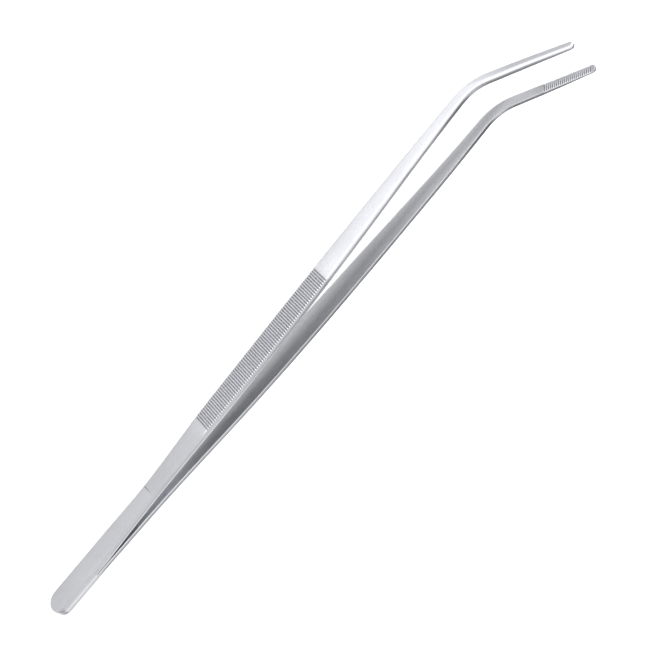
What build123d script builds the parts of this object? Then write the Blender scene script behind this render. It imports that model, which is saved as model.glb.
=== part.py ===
from build123d import *
import math
import os

# Aquascaping tweezers with edge-bent jaws, in millimetres.
# +X runs from the butt to the jaws, Y is the opening direction and +Z the way the jaws bend.
# The origin is at the bottom centre of the bounding box; the tool lies on its long edges.

# Overall size
LENGTH = 270.0               # butt end to jaw ends, along X
BUTT_X = -LENGTH / 2         # the butt end in the part's frame
BRAZE_LENGTH = 21.0          # the strips are joined over this length
BRAZE_THICKNESS = 0.24

# Strip section
THICKNESS = 2.0              # spring strip
OUTER_ROUND = 0.9            # radius round the rim of the outer side
INNER_ROUND = 0.28           # radius round the rim of the inner side
JAW_END_THICKNESS = 1.25
JAW_THINNING = 15.0          # length over which the jaw thins to its end
THINNING_RADIUS = 150.0      # where the thinning starts

# Side view: the strip's width along the tool, measured up from the resting line
BUTT_WIDTH = 9.5
BUTT_END_X = 20.0            # the butt's straight edges end here
WAIST_X = 55.0
WAIST_BOTTOM = 1.35
WAIST_TOP = 9.1
GRIP_TOP_X = 97.0
GRIP_TOP = 9.95
REST_START_X = 97.0          # the straight resting edge under the grip
REST_END_X = 128.0
NOSE_X = 222.0               # start of the straight nose ahead of the bend
NOSE_BOTTOM = 1.15
NOSE_TOP = 6.25

# Bend and jaws
BEND_X = 238.0               # corner of the centre line
BEND_Z = 3.4
BEND_ANGLE = 38.0
BEND_RADIUS = 20.0           # of the centre line
BEND_HALF_WIDTH = 2.1
JAW_HALF_WIDTH = 1.65        # at the rounded jaw end

# Top view: half the gap between the arms
ROOT_X = 25.0                # the arms turn outwards about here
ROOT_RADIUS = 200.0
OPENING_SLOPE = 0.0394       # of each arm, ahead of the root
BOW_X = 220.0                # the arms turn parallel about here
BOW_RADIUS = 820.0
JAW_SLOPE = -0.012

# Shoulder: the shank behind it is ground slightly thinner
SHOULDER_X = 56.0
SHOULDER_STEP = 0.1
SHOULDER_RAMP = 0.35
SCORE_WIDTH = 0.5            # of the line scored along the foot of the shoulder
SCORE_DEPTH = 0.3            # at the lower edge
SCORE_HEIGHT = 7.7           # where it runs out

# Grip grooves across the outer faces
GROOVE_START_X = 86.6
GROOVE_PITCH = 0.958
GROOVE_COUNT = 71
GROOVE_WIDTH = 0.62
GROOVE_DEPTH = 0.36

# Jaw teeth across the inner faces, counted back from the jaw end
TOOTH_PITCH = 0.79
TOOTH_COUNT = 24
TOOTH_WIDTH = 0.62
TOOTH_DEPTH = 0.28
TOOTH_END_MARGIN = 2.2

HALF_BRAZE = BRAZE_THICKNESS / 2
FREE_HEIGHT = 40.0           # taller than the bent jaws
FREE_DEPTH = 30.0            # wider than the open arms
BEND_TURN = math.radians(BEND_ANGLE)
JAW_STRAIGHT = (LENGTH - BEND_X - JAW_HALF_WIDTH) / math.cos(BEND_TURN)
JAW_LENGTH = JAW_STRAIGHT + JAW_HALF_WIDTH

side_view = Plane(origin=(BUTT_X, 0, 0), x_dir=(1, 0, 0), z_dir=(0, -1, 0))
top_view = Plane(origin=(BUTT_X, 0, 0))


def half_gap(x):
    """Distance from the middle plane to an arm's inner face, before the bow is rounded."""
    if x <= ROOT_X:
        return HALF_BRAZE
    if x <= BOW_X:
        return HALF_BRAZE + OPENING_SLOPE * (x - ROOT_X)
    return half_gap(BOW_X) + JAW_SLOPE * (x - BOW_X)


def jaw_point(along, across):
    """Side-view point on the bent jaw: along it from the bend's corner, and across it."""
    x = BEND_X + along * math.cos(BEND_TURN) - across * math.sin(BEND_TURN)
    z = BEND_Z + along * math.sin(BEND_TURN) + across * math.cos(BEND_TURN)
    return (x, z)


# Side view of one whole strip
corner_shift = BEND_HALF_WIDTH * math.tan(BEND_TURN / 2)
outer_corner = (BEND_X + corner_shift, BEND_Z - BEND_HALF_WIDTH)
inner_corner = (BEND_X - corner_shift, BEND_Z + BEND_HALF_WIDTH)
nose_bottom_way = (outer_corner[0] - NOSE_X, outer_corner[1] - NOSE_BOTTOM)
nose_top_way = (NOSE_X - inner_corner[0], NOSE_TOP - inner_corner[1])

with BuildSketch(side_view) as outline:
    with BuildLine():
        # resting edge: butt, waist, grip and nose
        Line((BUTT_WIDTH / 2, 0), (BUTT_END_X, 0))
        Spline(
            (BUTT_END_X, 0), (WAIST_X, WAIST_BOTTOM), (REST_START_X, 0),
            tangents=[(1, 0), (1, 0)],
        )
        Line((REST_START_X, 0), (REST_END_X, 0))
        Spline((REST_END_X, 0), (NOSE_X, NOSE_BOTTOM), tangents=[(1, 0), nose_bottom_way])
        Polyline((NOSE_X, NOSE_BOTTOM), outer_corner, jaw_point(JAW_STRAIGHT, -JAW_HALF_WIDTH))
        # rounded jaw end
        ThreePointArc(
            jaw_point(JAW_STRAIGHT, -JAW_HALF_WIDTH),
            jaw_point(JAW_LENGTH, 0),
            jaw_point(JAW_STRAIGHT, JAW_HALF_WIDTH),
        )
        # upper edge: nose, grip, waist and butt
        Polyline(jaw_point(JAW_STRAIGHT, JAW_HALF_WIDTH), inner_corner, (NOSE_X, NOSE_TOP))
        Spline(
            (NOSE_X, NOSE_TOP), (GRIP_TOP_X, GRIP_TOP), (WAIST_X, WAIST_TOP),
            (BUTT_END_X, BUTT_WIDTH),
            tangents=[nose_top_way, (-1, 0)],
        )
        Line((BUTT_END_X, BUTT_WIDTH), (BUTT_WIDTH / 2, BUTT_WIDTH))
        ThreePointArc(
            (BUTT_WIDTH / 2, BUTT_WIDTH), (0, BUTT_WIDTH / 2), (BUTT_WIDTH / 2, 0)
        )
    make_face()
    outer_bend = outline.vertices().sort_by_distance(Vector(*outer_corner))[0]
    fillet(outer_bend, radius=BEND_RADIUS + BEND_HALF_WIDTH)
    inner_bend = outline.vertices().sort_by_distance(Vector(*inner_corner))[0]
    fillet(inner_bend, radius=BEND_RADIUS - BEND_HALF_WIDTH)

# Top view of the left strip: a flat bar bent out at the braze and back at the bow
front_x = LENGTH + 1
thinning_x = LENGTH - JAW_THINNING
inner_root = (ROOT_X, half_gap(ROOT_X))
inner_bow = (BOW_X, half_gap(BOW_X))
outer_root = (ROOT_X, inner_root[1] + THICKNESS)
outer_bow = (BOW_X, inner_bow[1] + THICKNESS)
outer_thinning = (thinning_x, half_gap(thinning_x) + THICKNESS)
edge_corners = (
    (inner_root, ROOT_RADIUS + THICKNESS),
    (outer_root, ROOT_RADIUS),
    (inner_bow, BOW_RADIUS),
    (outer_bow, BOW_RADIUS + THICKNESS),
    (outer_thinning, THINNING_RADIUS),
)

with BuildSketch(top_view) as bar_edge:
    with BuildLine():
        Polyline((0, HALF_BRAZE), inner_root, inner_bow, (front_x, half_gap(front_x)))
        Line(
            (front_x, half_gap(front_x)),
            (front_x, half_gap(front_x) + JAW_END_THICKNESS),
        )
        Polyline(
            (front_x, half_gap(front_x) + JAW_END_THICKNESS),
            outer_thinning, outer_bow, outer_root, (0, outer_root[1]),
        )
        Line((0, outer_root[1]), (0, HALF_BRAZE))
    make_face()
    for corner, radius in edge_corners:
        fillet(bar_edge.vertices().sort_by_distance(Vector(*corner))[0], radius=radius)

# Shank relief: the sliver ground off the outer face behind the shoulder
shoulder_y = half_gap(SHOULDER_X) + THICKNESS
with BuildSketch(top_view) as shank_relief:
    with BuildLine():
        Polyline(
            (-1, outer_root[1] - SHOULDER_STEP),
            (ROOT_X, outer_root[1] - SHOULDER_STEP),
            (SHOULDER_X - SHOULDER_RAMP, shoulder_y - SHOULDER_STEP),
            (SHOULDER_X + SHOULDER_RAMP, shoulder_y + SHOULDER_STEP),
            (SHOULDER_X, shoulder_y + 1),
            (-1, shoulder_y + 1),
            (-1, outer_root[1] - SHOULDER_STEP),
        )
    make_face()
    relief_root = shank_relief.vertices().sort_by_distance(Vector(*outer_root))[0]
    fillet(relief_root, radius=ROOT_RADIUS)

# Scored line at the shoulder: a V whose depth runs out towards the upper edge
score_y = shoulder_y - SHOULDER_STEP
with BuildSketch(top_view) as score_profile:
    with Locations((SHOULDER_X - SHOULDER_RAMP, score_y)):
        Polygon(
            (-SCORE_WIDTH / 2, 0), (0, -SCORE_DEPTH), (SCORE_WIDTH / 2, 0),
            (SCORE_WIDTH / 2, 1), (-SCORE_WIDTH / 2, 1),
            align=None,
        )

# Grip grooves: V cuts square to the outer face
grip_turn = math.degrees(math.atan(OPENING_SLOPE))
with BuildSketch(top_view) as groove_profiles:
    for index in range(GROOVE_COUNT):
        groove_x = GROOVE_START_X + index * GROOVE_PITCH
        with Locations(Location((groove_x, half_gap(groove_x) + THICKNESS), grip_turn)):
            Polygon(
                (-GROOVE_WIDTH / 2, 0), (0, -GROOVE_DEPTH), (GROOVE_WIDTH / 2, 0),
                (GROOVE_WIDTH / 2, 1), (-GROOVE_WIDTH / 2, 1),
                align=None,
            )

# Jaw teeth: V cuts square to the bent jaw, in the inner face
jaw_view = Plane(
    origin=(BUTT_X + BEND_X, 0, BEND_Z),
    x_dir=(math.cos(BEND_TURN), 0, math.sin(BEND_TURN)),
    z_dir=(-math.sin(BEND_TURN), 0, math.cos(BEND_TURN)),
)
with BuildSketch(jaw_view) as tooth_profiles:
    for index in range(TOOTH_COUNT):
        tooth_along = JAW_LENGTH - TOOTH_END_MARGIN - index * TOOTH_PITCH
        tooth_y = half_gap(BEND_X + tooth_along * math.cos(BEND_TURN))
        with Locations((tooth_along, tooth_y)):
            Polygon(
                (-TOOTH_WIDTH / 2, 0), (0, TOOTH_DEPTH), (TOOTH_WIDTH / 2, 0),
                (TOOTH_WIDTH / 2, -1), (-TOOTH_WIDTH / 2, -1),
                align=None,
            )


def faces_towards(part, way):
    """Faces of a strip that look outwards (+1) or inwards (-1)."""
    return part.faces().filter_by(lambda face: face.normal_at().Y * way > 0.9)


def rim_edges(part, way):
    """The edges around a strip's outer or inner side, without the lines inside that side."""
    side_edges = ShapeList(edge for face in faces_towards(part, way) for edge in face.edges())
    return side_edges.filter_by(
        lambda edge: sum(edge.is_same(other) for other in side_edges) == 1
    )


# The whole left strip: section, rounded outer rim, shank relief, scored line, grip grooves
with BuildPart() as strip:
    with BuildSketch(top_view):
        add(bar_edge.sketch_local)
    extrude(amount=FREE_HEIGHT)
    with BuildSketch(side_view):
        add(outline.sketch_local)
    extrude(amount=FREE_DEPTH, both=True, mode=Mode.INTERSECT)
    fillet(rim_edges(strip.part, 1), radius=OUTER_ROUND)
    with BuildSketch(top_view):
        add(shank_relief.sketch_local)
    extrude(amount=FREE_HEIGHT, mode=Mode.SUBTRACT)
    with BuildSketch(top_view):
        add(score_profile.sketch_local)
    extrude(amount=SCORE_HEIGHT, dir=(0, SCORE_DEPTH / SCORE_HEIGHT, 1), mode=Mode.SUBTRACT)
    with BuildSketch(top_view):
        add(groove_profiles.sketch_local)
    extrude(amount=FREE_HEIGHT, mode=Mode.SUBTRACT)

# Left strip, rear end inside the joint
joint_front = Plane(origin=(BUTT_X + BRAZE_LENGTH, 0, 0), z_dir=(1, 0, 0))
with BuildPart() as butt_left:
    add(strip.part)
    split(bisect_by=joint_front, keep=Keep.BOTTOM)

# Left arm: the free length, with its inner rim rounded and its jaw toothed
with BuildPart() as arm_left:
    add(strip.part)
    split(bisect_by=joint_front, keep=Keep.TOP)
    inner_rim = rim_edges(arm_left.part, -1).filter_by(
        lambda edge: edge.center().X > BUTT_X + BRAZE_LENGTH + 0.1
    )
    fillet(inner_rim, radius=INNER_ROUND)
    with BuildSketch(jaw_view):
        add(tooth_profiles.sketch_local)
    extrude(amount=FREE_DEPTH / 4, both=True, mode=Mode.SUBTRACT)

# Right strip: the mirror image
with BuildPart() as butt_right:
    mirror(butt_left.part, about=Plane.XZ)

with BuildPart() as arm_right:
    mirror(arm_left.part, about=Plane.XZ)

# Braze between the two rear ends
with BuildPart() as braze_layer:
    with BuildSketch(side_view):
        add(outline.sketch_local)
    extrude(amount=HALF_BRAZE, both=True)
    split(bisect_by=joint_front, keep=Keep.BOTTOM)

pieces = {
    "butt_left": butt_left,
    "butt_right": butt_right,
    "braze_layer": braze_layer,
    "arm_left": arm_left,
    "arm_right": arm_right,
}
os.makedirs("parts", exist_ok=True)
for name, piece in pieces.items():
    piece.part.label = name
    export_step(piece.part, f"parts/{name}.step")
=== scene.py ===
import math
from collections import namedtuple
import bpy
from mathutils import Matrix, Vector


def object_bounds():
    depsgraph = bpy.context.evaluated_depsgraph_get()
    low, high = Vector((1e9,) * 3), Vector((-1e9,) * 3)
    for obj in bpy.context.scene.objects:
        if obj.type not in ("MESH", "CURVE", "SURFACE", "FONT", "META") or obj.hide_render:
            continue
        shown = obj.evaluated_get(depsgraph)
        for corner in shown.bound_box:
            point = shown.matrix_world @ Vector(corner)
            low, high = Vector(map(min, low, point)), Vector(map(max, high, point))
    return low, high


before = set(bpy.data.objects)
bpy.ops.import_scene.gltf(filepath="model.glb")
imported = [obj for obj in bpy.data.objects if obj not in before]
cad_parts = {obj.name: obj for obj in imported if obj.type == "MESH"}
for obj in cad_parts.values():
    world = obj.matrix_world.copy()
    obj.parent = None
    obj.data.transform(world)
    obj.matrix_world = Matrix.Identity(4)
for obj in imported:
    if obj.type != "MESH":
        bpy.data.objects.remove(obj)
cad_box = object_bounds()

CAMERA_AIM = Vector((0.0066, 0.0, 0.0159))
CAMERA_DISTANCE = 0.7254
CAMERA_AZIMUTH = math.radians(83.81)
CAMERA_ELEVATION = math.radians(44.74)
CAMERA_ROLL = math.radians(134.5)
CAMERA_LENS = 115.2                  # millimetres, like the sensor's width
SENSOR_WIDTH = 36.0
CLIP_RANGE = (0.01, 20.0)

FLOOR_SIZE = 6.0
FLOOR_TONE = 0.88
WASH_PLACE = (0.0, 0.6, 2.0)
WASH_SIZE = 2.0
WASH_POWER = 40.0

# Brightness of the studio beyond the part, by direction along X.
BEYOND_TONES = ((-0.60, 1.20), (-0.33, 2.20), (-0.19, 1.75), (-0.15, 0.75), (-0.10, 0.50), (0.80, 0.50))

# Places on the part, in metres.
TAIL, TIP = cad_box[0][0], cad_box[1][0]
ROOT_X = TAIL + 0.025                # the arms open from here, by this slope each
OPENING_SLOPE = 0.0394
OPENING_STARTS = (ROOT_X - 0.001, ROOT_X + 0.002)
EVEN_OPENING_ENDS = (TAIL + 0.200, TAIL + 0.216)
BEND_X = TIP - 0.032
BEND_Z = 0.0034
BEND_ANGLE = math.radians(38.0)      # of the jaws, about Y
BAND_TOP = 0.010                     # the tones across a face are given from the floor up to here
NOSE_RISE = 0.0031                   # moves those tones down on the slimmer nose
EDGE_REACH = 0.0006                  # how far from an edge or a corner the wear, the painted highlights and the painted shade reach

# Stretches over which the look changes, as shares of the way from the butt to the tip.
ARMS_PART = (0.081, 0.086)
SHANK_ENDS = (0.20, 0.30)
GRIP_STARTS = (0.31, 0.32)
GRIP_ENDS = (0.565, 0.585)
STRIP_SLIMS = (0.50, 0.75)
FINISH_CHANGES = (0.25, 0.60)
BEND_STARTS = (0.79, 0.84)
JAW_STARTS = (0.86, 0.93)
TEETH_START = (0.93, 0.94)

# Tones of the faces, by share of the length and, for the band on the inner face, by height. The band is
# painted reflection and painted shade: lighter near the floor, darker at mid height. The inner tones
# are partly the steel's own tone and partly painted shade; the outer tones' rise towards the jaws is
# partly the finish and partly painted light.
OUTER_TONES = (
    (0.0, 0.36), (0.06, 0.40), (0.205, 0.40), (0.212, 0.375), (0.30, 0.41),
    (0.33, 0.47), (0.570, 0.47), (0.573, 0.57), (0.85, 0.60),
)
INNER_TONES_AND_SHADE = (
    (0.17, 0.82), (0.23, 0.66), (0.28, 0.48), (0.33, 0.41), (0.50, 0.30),
    (0.62, 0.28), (0.80, 0.38), (0.92, 0.37), (0.94, 0.28),
)
BAND_LIGHT_AND_SHADE = ((0.0014, 1.4), (0.0039, 1.05), (0.0064, 0.76), (0.0074, 0.78), (0.0094, 1.0))

STEEL_GREEN = 1.008                  # green and blue of the steel's greys, against their red
STEEL_BLUE = 1.06
WARM_BLUE = 1.02
NEUTRAL_BLUE = 1.0
CLOUD_BLUE = 1.10

SILVER_DULL = (0.52, 0.51, 0.49, 1.0)
SILVER_CLEAN = (0.66, 0.65, 0.64, 1.0)
SILVER_PIT = (0.30, 0.28, 0.25, 1.0)
SILVER_WORN = (0.85, 0.84, 0.82, 1.0)

# The values of a noise between which a look changes: all of it, the broad clouds and the rare pits.
NOISE_RANGE = (0.3, 0.7)
CLOUD_RANGE = (0.35, 0.7)
PIT_RANGE = (0.62, 0.74)
NOISE_ROUGHNESS = 0.55

# How a strip's edges are painted with light and shade: the tone of its outer corner and how much of it
# shows at the shank and from the grip on, how much painted highlight its rib ends and inner edges get,
# and how much painted shade darkens its side edges.
Edges = namedtuple("Edges", "corner_tone shank_corner grip_corner shine shade")
LEFT_EDGES = Edges(corner_tone=0.90, shank_corner=0.14, grip_corner=0.0, shine=0.8, shade=0.0)
RIGHT_EDGES = Edges(corner_tone=0.15, shank_corner=0.25, grip_corner=0.5, shine=0.1, shade=0.3)


def grey(level, blue=STEEL_BLUE):
    return (level, level * STEEL_GREEN, level * blue, 1.0)


class Graph:
    """Short calls for wiring the nodes of one material or world."""

    def __init__(self, owner):
        owner.use_nodes = True
        self.owner = owner
        self.tree = owner.node_tree

    def node(self, kind, **values):
        made = self.tree.nodes.new(kind)
        for key, value in values.items():
            setattr(made, key, value)
        return made

    def feed(self, socket, value):
        """Links an output to a socket, or sets the socket's own value."""
        if isinstance(value, bpy.types.NodeSocket):
            self.tree.links.new(value, socket)
        else:
            socket.default_value = value

    def axis(self, output, letter):
        coordinates = self.node("ShaderNodeTexCoord")
        parts = self.node("ShaderNodeSeparateXYZ")
        self.feed(parts.inputs[0], coordinates.outputs[output])
        return parts.outputs[letter]

    def noise(self, scale, detail=3.0):
        """Noise in object space; scale is how often it changes along each axis, per metre."""
        coordinates = self.node("ShaderNodeTexCoord")
        mapping = self.node("ShaderNodeMapping")
        made = self.node("ShaderNodeTexNoise")
        self.feed(mapping.inputs["Vector"], coordinates.outputs["Object"])
        self.feed(mapping.inputs["Scale"], scale)
        self.feed(made.inputs["Vector"], mapping.outputs["Vector"])
        self.feed(made.inputs["Scale"], 1.0)
        self.feed(made.inputs["Detail"], detail)
        self.feed(made.inputs["Roughness"], NOISE_ROUGHNESS)
        return made.outputs["Fac"]

    def spread(self, value, low, high, to_low, to_high, smooth=False):
        """Goes from to_low to to_high while value goes from low to high, and no further."""
        made = self.node("ShaderNodeMapRange")
        made.interpolation_type = "SMOOTHSTEP" if smooth else "LINEAR"
        for socket, number in zip(made.inputs, (value, low, high, to_low, to_high)):
            self.feed(socket, number)
        return made.outputs["Result"]

    def rise(self, value, start, end):
        return self.spread(value, start, end, 0.0, 1.0)

    def fall(self, value, start, end):
        return self.spread(value, start, end, 1.0, 0.0)

    def ramp(self, value, low, high, stops, blue=STEEL_BLUE):
        """A grey that follows value from low to high; stops are (value, level), in order."""
        made = self.node("ShaderNodeValToRGB")
        while len(made.color_ramp.elements) < len(stops):
            made.color_ramp.elements.new(1.0)
        for element, (place, level) in zip(made.color_ramp.elements, stops):
            element.position = (place - low) / (high - low)
            element.color = grey(level, blue)
        self.feed(made.inputs["Fac"], self.rise(value, low, high))
        return made.outputs["Color"]

    def open_share(self, distance, inside=False):
        """How open a point is, 0 to 1: to its surroundings or, inside, to its own far faces."""
        made = self.node("ShaderNodeAmbientOcclusion", samples=8, inside=inside, only_local=inside)
        self.feed(made.inputs["Distance"], distance)
        return made.outputs["AO"]

    def combine(self, operation, values):
        total = values[0]
        for value in values[1:]:
            made = self.node("ShaderNodeMath", operation=operation)
            self.feed(made.inputs[0], total)
            self.feed(made.inputs[1], value)
            total = made.outputs[0]
        return total

    def sum(self, *values):
        return self.combine("ADD", values)

    def times(self, *values):
        return self.combine("MULTIPLY", values)

    def absolute(self, value):
        made = self.node("ShaderNodeMath", operation="ABSOLUTE")
        self.feed(made.inputs[0], value)
        return made.outputs[0]

    def mix(self, share, first, second):
        made = self.node("ShaderNodeMix", data_type="RGBA")
        self.feed(made.inputs[0], share)
        self.feed(made.inputs[6], first)
        self.feed(made.inputs[7], second)
        return made.outputs[2]

    def scale(self, colour, by):
        made = self.node("ShaderNodeVectorMath", operation="MULTIPLY")
        self.feed(made.inputs[0], colour)
        self.feed(made.inputs[1], by)
        return made.outputs[0]

    def bump(self, height, strength, distance, normal=None):
        made = self.node("ShaderNodeBump")
        self.feed(made.inputs["Strength"], strength)
        self.feed(made.inputs["Distance"], distance)
        self.feed(made.inputs["Height"], height)
        if normal is not None:
            self.feed(made.inputs["Normal"], normal)
        return made.outputs["Normal"]

    def metal(self, tone, roughness, normal):
        """Wires a bare metal surface and gives back its material."""
        shader = self.tree.nodes["Principled BSDF"]
        self.feed(shader.inputs["Base Color"], tone)
        self.feed(shader.inputs["Metallic"], 1.0)
        self.feed(shader.inputs["Roughness"], roughness)
        self.feed(shader.inputs["Normal"], normal)
        return self.owner


class Strip(Graph):
    """The steel of one strip: its tone so far, and marks, 0 to 1, for places on it.

    side is 1 for the left strip, whose outer face looks along +Y, and -1 for the right one.
    """

    def __init__(self, name, side):
        super().__init__(bpy.data.materials.new(name))
        self.along = self.rise(self.axis("Object", "X"), TAIL, TIP)
        self.outward = self.times(self.axis("Normal", "Y"), side)
        self.upward = self.axis("Normal", "Z")
        self.outer = self.rise(self.outward, 0.5, 0.9)
        self.inner = self.rise(self.outward, -0.3, -0.8)
        self.side_edge = self.fall(self.absolute(self.outward), 0.3, 0.7)
        self.free = self.rise(self.along, *ARMS_PART)
        self.grip = self.rise(self.along, *GRIP_STARTS)
        self.jaw = self.rise(self.along, *JAW_STARTS)
        self.tone = self.face_tone_and_painted_light()

    def paint(self, mark, level, strength=1.0, blue=STEEL_BLUE):
        """Mixes a grey into the tone where the mark is, by up to this strength."""
        self.tone = self.mix(self.times(mark, strength), self.tone, grey(level, blue))

    def face_tone_and_painted_light(self):
        """Tones along both faces; the inner one has a band of painted reflection and painted shade, the
        outer one is paler higher up with painted light from above.
        """
        rise_so_far = self.times(self.rise(self.along, *STRIP_SLIMS), NOSE_RISE)
        height = self.sum(self.axis("Object", "Z"), rise_so_far)
        # Painted light from above: the outer face gets paler higher up, from the grip's end on.
        painted_top_light = self.spread(height, 0.002, 0.009, -0.07, 0.10)
        painted_top_light = self.times(painted_top_light, self.rise(self.along, *GRIP_ENDS))
        # Painted reflection and painted shade: the band across the inner face, by height.
        painted_band = self.ramp(height, 0.0, BAND_TOP, BAND_LIGHT_AND_SHADE, NEUTRAL_BLUE)
        outer_tone = self.scale(self.ramp(self.along, 0.0, 1.0, OUTER_TONES), self.sum(painted_top_light, 1.0))
        inner_tone = self.scale(self.ramp(self.along, 0.0, 1.0, INNER_TONES_AND_SHADE), painted_band)
        return self.mix(self.inner, outer_tone, inner_tone)

    def above_jaw_line(self):
        """Distance above the centre line of the bent jaw, in metres."""
        x = self.times(self.sum(self.axis("Object", "X"), -BEND_X), -math.sin(BEND_ANGLE))
        z = self.times(self.sum(self.axis("Object", "Z"), -BEND_Z), math.cos(BEND_ANGLE))
        return self.sum(x, z)

    def lower_jaw(self):
        """The lower half of the jaw's outer face."""
        return self.times(self.fall(self.above_jaw_line(), 0.0002, 0.0009), self.jaw, self.outer)

    def downward(self):
        """The faces that look down."""
        return self.rise(self.upward, -0.10, -0.60)

    def tooth_wall(self):
        """The walls of the jaw teeth that look up."""
        toothed = self.times(self.rise(self.along, *TEETH_START), self.rise(self.outward, -0.30, -0.50))
        return self.times(toothed, self.rise(self.upward, 0.15, 0.30))

    def outer_corner(self):
        """The rounded corner between the top edge and the outer face."""
        return self.times(self.rise(self.upward, 0.20, 0.45), self.rise(self.outward, 0.25, 0.50))

    def inner_corner(self):
        """The rounded corner between the top edge and the inner face."""
        return self.times(self.rise(self.upward, 0.20, 0.40), self.rise(self.outward, -0.05, -0.25))

    def rib_end(self):
        """Where the grip's ribs run out into the outer corner."""
        leaning = self.times(self.rise(self.upward, 0.06, 0.20), self.fall(self.upward, 0.50, 0.68))
        return self.times(leaning, self.rise(self.outward, 0.25, 0.50), self.grip)

    def inner_edge(self):
        """A strip of the top edge next to the inner face, from the braze to the bow."""
        x = self.axis("Object", "X")
        opening = self.times(self.sum(x, -ROOT_X), -OPENING_SLOPE)
        depth = self.sum(self.absolute(self.axis("Object", "Y")), opening)
        beside = self.times(self.fall(depth, 0.0005, 0.0008), self.rise(self.upward, 0.3, 0.6))
        after_root = self.rise(x, *OPENING_STARTS)
        before_bow = self.fall(x, *EVEN_OPENING_ENDS)
        return self.times(beside, after_root, before_bow)

    def braze_line(self):
        """The edges beside the braze."""
        beside = self.fall(self.absolute(self.axis("Object", "Y")), 0.0003, 0.0011)
        return self.times(beside, self.fall(self.free, 0.0, 1.0), self.side_edge)

    def worn_and_highlit_edge(self):
        """Convex edges of the free arm, but not on its outer face; lightened as partly real wear and
        partly painted highlight.
        """
        convex = self.fall(self.open_share(EDGE_REACH, inside=True), 0.55, 0.92)
        return self.times(convex, self.free, self.fall(self.outward, 0.15, 0.45))

    def shade_in_hollows(self):
        """Narrow corners and grooves, but not on the outer face: where painted shade is put."""
        hollow = self.fall(self.open_share(EDGE_REACH), 0.25, 0.80)
        return self.times(hollow, self.fall(self.outer, 0.0, 1.0))


def paint_shade(g):
    """Painted shade: darkens the lower jaw, the downward faces, the edges past the bend and the teeth.
    """
    unlit = g.sum(g.times(g.lower_jaw(), 0.9), g.times(g.downward(), 0.8))
    g.paint(unlit, level=0.32)
    g.paint(g.times(g.side_edge, g.rise(g.along, *BEND_STARTS)), level=0.29)
    g.paint(g.tooth_wall(), level=0.12, strength=0.8)


def paint_edge_light_and_shade(g, edges):
    """Painted highlights and painted shade on the edges and corners, lighter on one strip than on the
    other.
    """
    before_jaw = g.fall(g.jaw, 0.0, 1.0)
    corner_share = g.spread(g.grip, 0.0, 1.0, edges.shank_corner, edges.grip_corner)
    # Painted light on the shank's side edges and painted shade on the free arm's; the outer corner gets
    # corner_tone, a painted highlight on the left strip and painted shade on the right.
    g.paint(g.times(g.side_edge, g.fall(g.along, *SHANK_ENDS)), level=0.60, strength=0.12)
    g.paint(g.times(g.side_edge, g.free), level=0.15, strength=edges.shade)
    g.paint(g.times(g.outer_corner(), corner_share), level=edges.corner_tone)
    # Painted highlights on the rib ends, the inner edges, the inner corners and the edges beside the
    # braze.
    g.paint(g.rib_end(), level=0.95, strength=edges.shine)
    g.paint(g.inner_edge(), level=0.92, strength=edges.shine)
    g.paint(g.times(g.inner_corner(), before_jaw), level=0.95, strength=edges.shine, blue=WARM_BLUE)
    g.paint(g.braze_line(), level=0.80, strength=0.2, blue=WARM_BLUE)


def spring_steel(name, side, edges):
    """Brushed stainless spring steel: satin shank, brighter towards the jaws partly by painted light,
    darker inside with painted shade, and painted highlights and shade on its edges.
    """
    g = Strip(name, side)
    brushing = g.noise((70.0, 2600.0, 2600.0), detail=4.0)
    fine = g.noise((260.0, 7000.0, 7000.0), detail=2.0)
    clouds = g.noise((45.0, 160.0, 160.0))
    speckle = g.noise((1500.0, 2200.0, 2200.0), detail=2.0)
    grain = g.noise((5200.0, 5200.0, 5200.0), detail=1.0)

    # Painted shade first, then painted highlights and shade on the edges.
    paint_shade(g)
    paint_edge_light_and_shade(g, edges)
    g.paint(g.fall(brushing, *NOISE_RANGE), level=0.22, strength=0.14)
    g.paint(g.fall(clouds, *CLOUD_RANGE), level=0.30, strength=0.10, blue=CLOUD_BLUE)
    g.tone = g.scale(g.tone, g.spread(speckle, *NOISE_RANGE, 0.96, 1.04))
    # Lightened convex edges: partly wear, partly painted highlight.
    g.paint(g.worn_and_highlit_edge(), level=0.88, strength=0.85)
    # Painted shade in the narrow corners and grooves.
    g.paint(g.shade_in_hollows(), level=0.10, strength=0.40, blue=NEUTRAL_BLUE)

    roughness = g.sum(
        g.spread(g.along, *FINISH_CHANGES, 0.36, 0.28),
        g.spread(brushing, *NOISE_RANGE, -0.05, 0.05),
        g.spread(clouds, *CLOUD_RANGE, 0.04, -0.04),
    )
    grain = g.times(grain, g.spread(g.along, *FINISH_CHANGES, 1.0, 0.3))
    normal = g.bump(brushing, strength=0.2, distance=0.00003)
    normal = g.bump(fine, strength=0.1, distance=0.00001, normal=normal)
    normal = g.bump(grain, strength=0.2, distance=0.00001, normal=normal)
    return g.metal(g.tone, roughness, normal)


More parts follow.
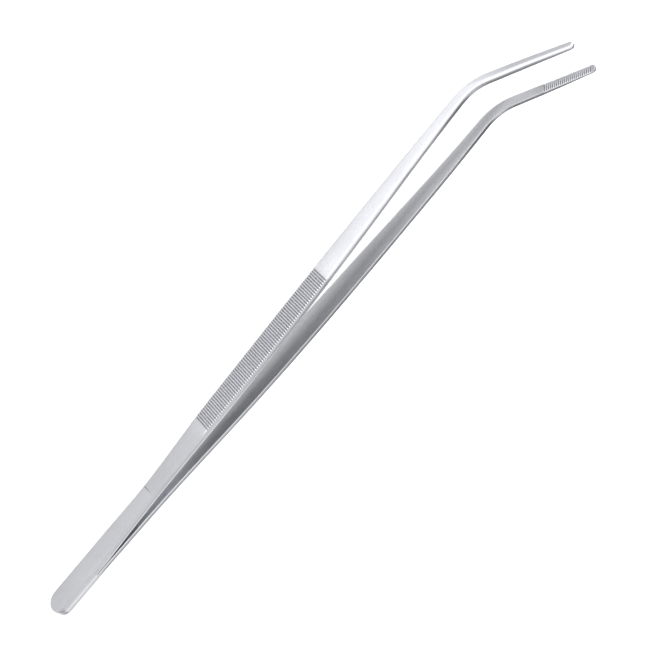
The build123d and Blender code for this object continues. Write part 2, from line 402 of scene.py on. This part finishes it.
def silver_braze(name):
    """Silver filler ground flush: paler and warmer than the strips, with small pits."""
    g = Graph(bpy.data.materials.new(name))
    flow = g.noise((300.0, 900.0, 900.0))
    pits = g.noise((2600.0, 2600.0, 2600.0), detail=2.0)
    grinding = g.noise((120.0, 6000.0, 3000.0))
    worn = g.spread(g.open_share(EDGE_REACH, inside=True), 0.4, 0.8, 0.3, 0.0)

    tone = g.mix(g.rise(flow, *NOISE_RANGE), SILVER_DULL, SILVER_CLEAN)
    tone = g.mix(g.spread(pits, *PIT_RANGE, 0.0, 0.7), tone, SILVER_PIT)
    tone = g.mix(worn, tone, SILVER_WORN)
    roughness = g.sum(g.spread(flow, *NOISE_RANGE, 0.34, 0.44), g.spread(pits, *PIT_RANGE, 0.0, 0.2))
    normal = g.bump(grinding, strength=0.3, distance=0.00001)
    normal = g.bump(pits, strength=0.4, distance=0.00002, normal=normal)
    return g.metal(tone, roughness, normal)


def make_camera():
    data = bpy.data.cameras.new("camera")
    data.lens = CAMERA_LENS
    data.sensor_width = SENSOR_WIDTH
    data.clip_start, data.clip_end = CLIP_RANGE
    camera = bpy.data.objects.new("camera", data)
    bpy.context.scene.collection.objects.link(camera)
    away = Vector((
        math.cos(CAMERA_ELEVATION) * math.cos(CAMERA_AZIMUTH),
        math.cos(CAMERA_ELEVATION) * math.sin(CAMERA_AZIMUTH),
        math.sin(CAMERA_ELEVATION),
    ))
    camera.matrix_world = (
        Matrix.Translation(CAMERA_AIM + away * CAMERA_DISTANCE)
        @ away.to_track_quat("Z", "Y").to_matrix().to_4x4()
        @ Matrix.Rotation(CAMERA_ROLL, 4, "Z")
    )
    bpy.context.scene.camera = camera


def make_floor():
    bpy.ops.mesh.primitive_plane_add(size=FLOOR_SIZE, location=(0, 0, 0))
    floor = bpy.context.object
    floor.name = "floor"
    g = Graph(bpy.data.materials.new("floor"))
    shader = g.tree.nodes["Principled BSDF"]
    g.feed(shader.inputs["Base Color"], (FLOOR_TONE, FLOOR_TONE, FLOOR_TONE, 1.0))
    g.feed(shader.inputs["Roughness"], 1.0)
    g.feed(shader.inputs["Specular IOR Level"], 0.0)
    floor.data.materials.append(g.owner)
    return floor


def wash_floor(floor):
    """A soft area light that lights the floor alone, white up to the part's edge."""
    data = bpy.data.lights.new("floor_wash", "AREA")
    data.shape = "RECTANGLE"
    data.size = data.size_y = WASH_SIZE
    data.energy = WASH_POWER
    lamp = bpy.data.objects.new("floor_wash", data)
    bpy.context.scene.collection.objects.link(lamp)
    lamp.location = WASH_PLACE
    lamp.rotation_euler = Vector(WASH_PLACE).to_track_quat("Z", "Y").to_euler()
    lit = bpy.data.collections.new("floor_wash")
    lit.objects.link(floor)
    lamp.light_linking.receiver_collection = lit
    lamp.light_linking.blocker_collection = lit


def make_studio():
    """A white tent: bright on the camera's side, and darker beyond the jaws."""
    world = bpy.data.worlds.new("studio")
    bpy.context.scene.world = world
    g = Graph(world)
    x = g.axis("Generated", "X")
    beyond = g.times(
        g.ramp(x, -1.0, 1.0, BEYOND_TONES, NEUTRAL_BLUE),
        g.spread(g.axis("Generated", "Z"), 0.10, 0.55, 0.25, 1.0),
    )
    camera_side = g.spread(x, -0.30, 0.06, 1.15, 1.60)
    turn = g.spread(g.axis("Generated", "Y"), -0.40, 0.20, 0.0, 1.0, smooth=True)
    tent = g.sum(beyond, g.times(turn, g.sum(camera_side, g.times(beyond, -1.0))))
    background = g.tree.nodes["Background"]
    g.feed(background.inputs["Color"], (1.0, 1.0, 1.0, 1.0))
    g.feed(background.inputs["Strength"], tent)
    bpy.context.scene.view_settings.view_transform = "Standard"


def dress(nodes):
    left_steel = spring_steel("spring_steel_left", 1.0, LEFT_EDGES)
    right_steel = spring_steel("spring_steel_right", -1.0, RIGHT_EDGES)
    looks = {
        "butt_left": left_steel,
        "butt_right": right_steel,
        "braze_layer": silver_braze("silver_braze"),
        "arm_left": left_steel,
        "arm_right": right_steel,
    }
    for name, node in nodes.items():
        node.data.materials.clear()
        node.data.materials.append(looks[name])


make_camera()
wash_floor(make_floor())
make_studio()
dress(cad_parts)
